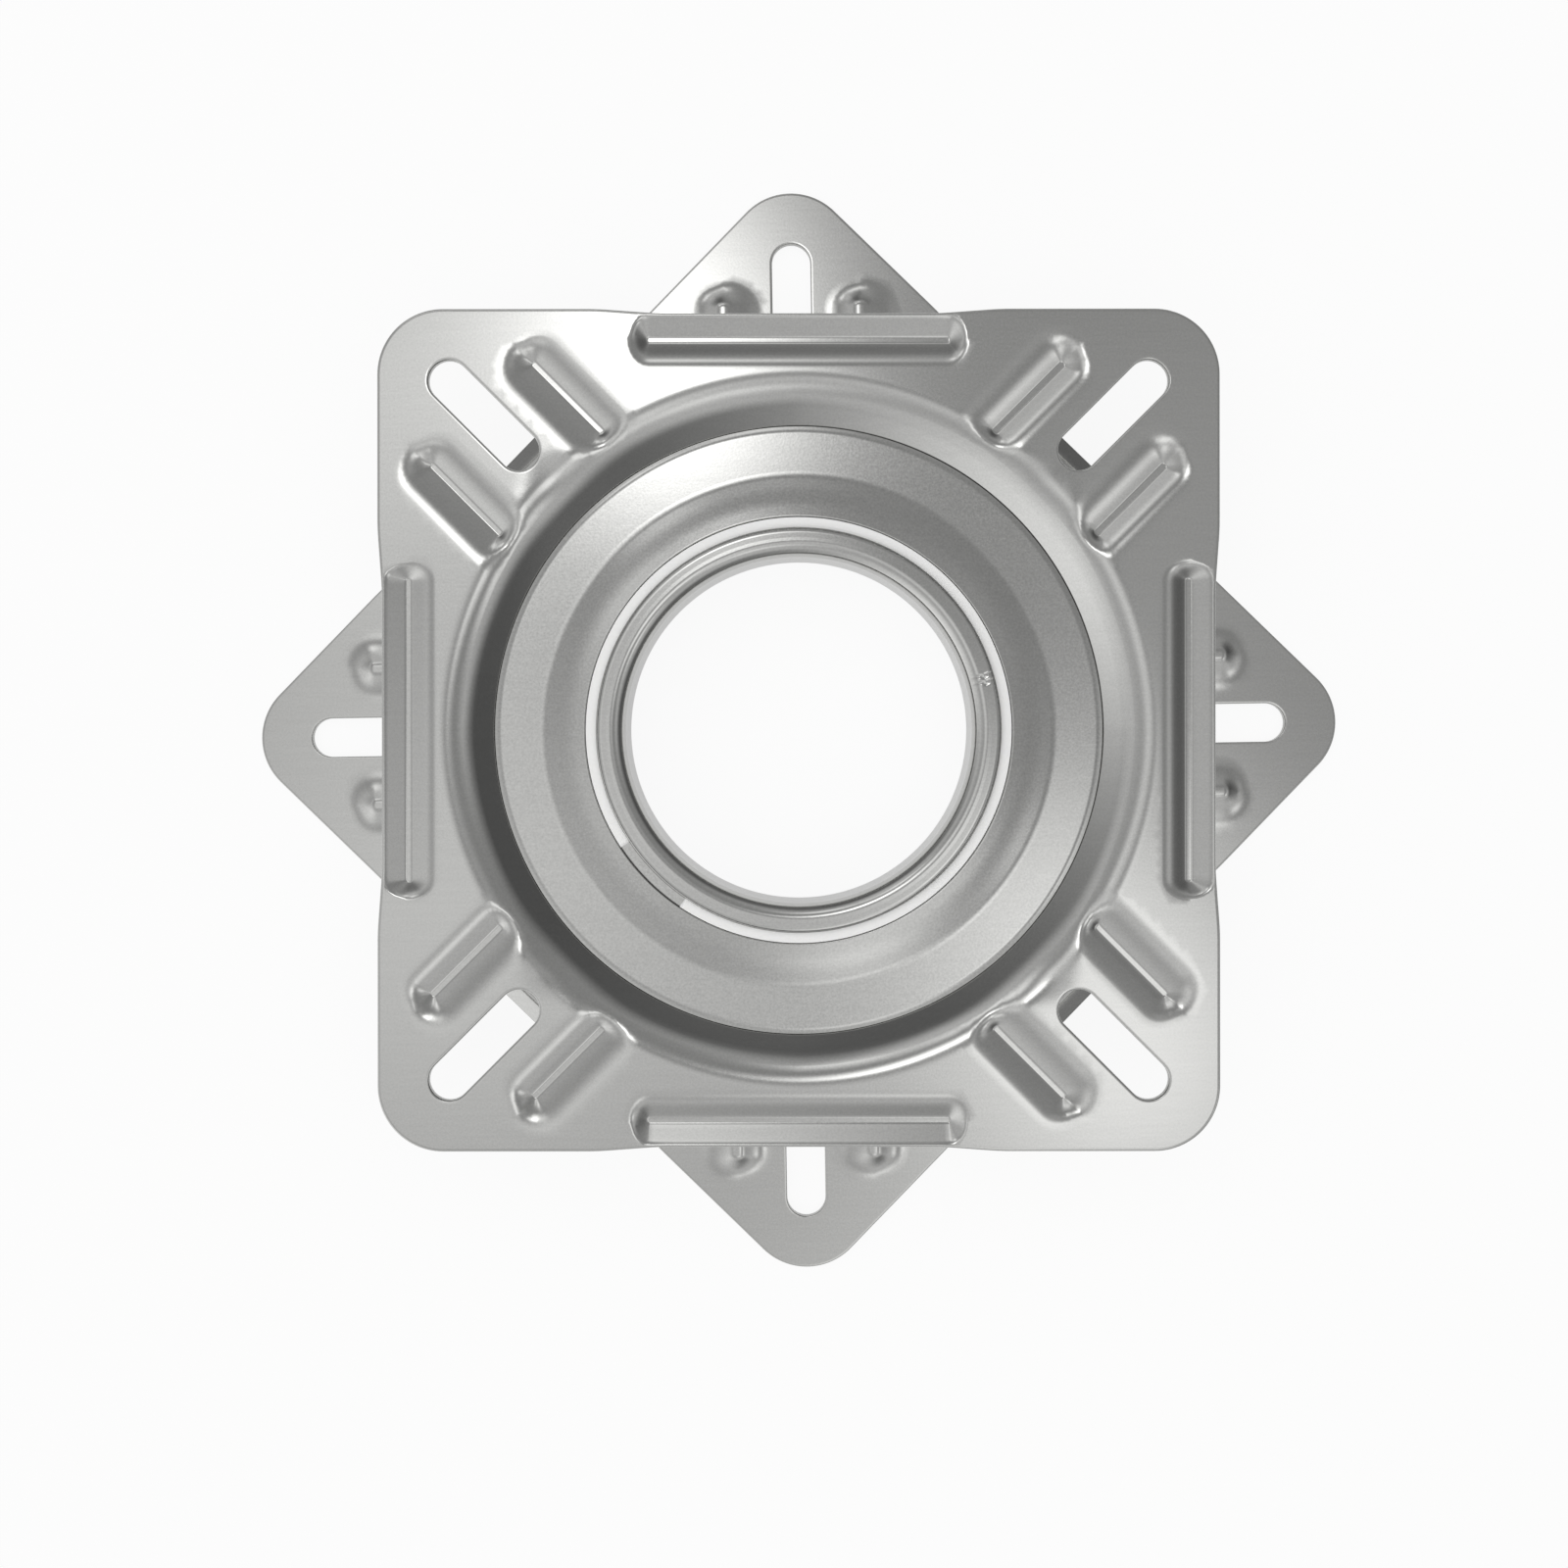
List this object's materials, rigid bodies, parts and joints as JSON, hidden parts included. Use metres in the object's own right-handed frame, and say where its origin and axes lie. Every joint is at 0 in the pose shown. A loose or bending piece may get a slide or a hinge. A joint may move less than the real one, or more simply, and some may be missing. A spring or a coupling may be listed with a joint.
{
  "type": "seat swivel plate",
  "caption": "Low seat swivel: two square pressed steel plates with slotted corners turn on a ball ring round an open rolled hub sleeve.",
  "frame": {"origin": "on the swivel axis, in the plane of the lower plate's mounting face", "axes": "+Z along the swivel axis, towards the seat; X and Y along the two slotted diagonals of the lower plate"},
  "size_m": [0.243, 0.243, 0.025],
  "materials": {
    "plate_steel": "satin zinc-bright sheet",
    "ring_steel": "satin, slightly grainy sheet",
    "sleeve_steel": "satin rolled sheet",
    "liner_nylon": "matte off-white",
    "cage_nylon": "matte natural nylon",
    "ball_steel": "ground and polished"
  },
  "bodies": {
    "base": {"lower_plate": "plate_steel", "lower_retaining_ring": "ring_steel", "lower_liner_strip": "liner_nylon", "hub_sleeve": "sleeve_steel", "upper_liner_strip": "liner_nylon"},
    "top": {"upper_plate": "plate_steel", "upper_retaining_ring": "ring_steel"},
    "cage": {"ball_cage": "cage_nylon", "ball_01": "ball_steel", "ball_02": "ball_steel", "ball_03": "ball_steel", "ball_04": "ball_steel", "ball_05": "ball_steel", "ball_06": "ball_steel", "ball_07": "ball_steel", "ball_08": "ball_steel", "ball_09": "ball_steel", "ball_10": "ball_steel", "ball_11": "ball_steel", "ball_12": "ball_steel", "ball_13": "ball_steel", "ball_14": "ball_steel", "ball_15": "ball_steel", "ball_16": "ball_steel", "ball_17": "ball_steel", "ball_18": "ball_steel", "ball_19": "ball_steel", "ball_20": "ball_steel", "ball_21": "ball_steel", "ball_22": "ball_steel", "ball_23": "ball_steel", "ball_24": "ball_steel"}
  },
  "joints": [
    {"name": "swivel", "type": "hinge", "parent": "base", "child": "top", "pos_m": [0, 0, 0.0125], "axis": [0, 0, 1], "continuous": true},
    {"name": "cage_turn", "type": "hinge", "parent": "base", "child": "cage", "pos_m": [0, 0, 0.0125], "axis": [0, 0, 1], "continuous": true}
  ],
  "couplings": [
    {"joint": "cage_turn", "follows": "swivel", "ratio": 0.5}
  ]
}
